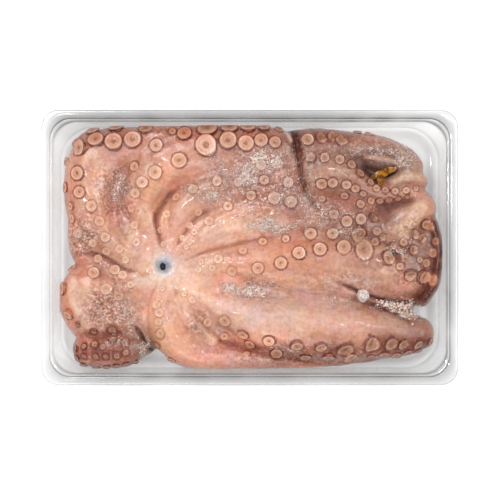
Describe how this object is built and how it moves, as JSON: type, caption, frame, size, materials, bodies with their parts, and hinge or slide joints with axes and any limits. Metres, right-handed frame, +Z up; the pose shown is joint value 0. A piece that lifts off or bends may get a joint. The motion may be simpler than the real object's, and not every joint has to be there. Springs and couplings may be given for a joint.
{
  "type": "whole octopus in a clear tray",
  "caption": "Whole pale octopus lying mouth up with its suckered arms folded round it, filling a clear rectangular thermoformed tray.",
  "frame": {"origin": "on the table, under the middle of the tray", "axes": "+X along the tray's long side, +Y towards the side away from the viewer, +Z up out of the open tray"},
  "size_m": [0.3, 0.198, 0.05],
  "materials": {
    "clear_plastic": "clear, thin, gloss",
    "octopus_flesh": "moist skin, soft gloss",
    "beak": "smooth, dark",
    "frosted_ice": "frosted, granular"
  },
  "bodies": {
    "root": {"tray": "clear_plastic", "octopus": "octopus_flesh", "beak": "beak", "ice_lump": "frosted_ice"}
  },
  "joints": []
}
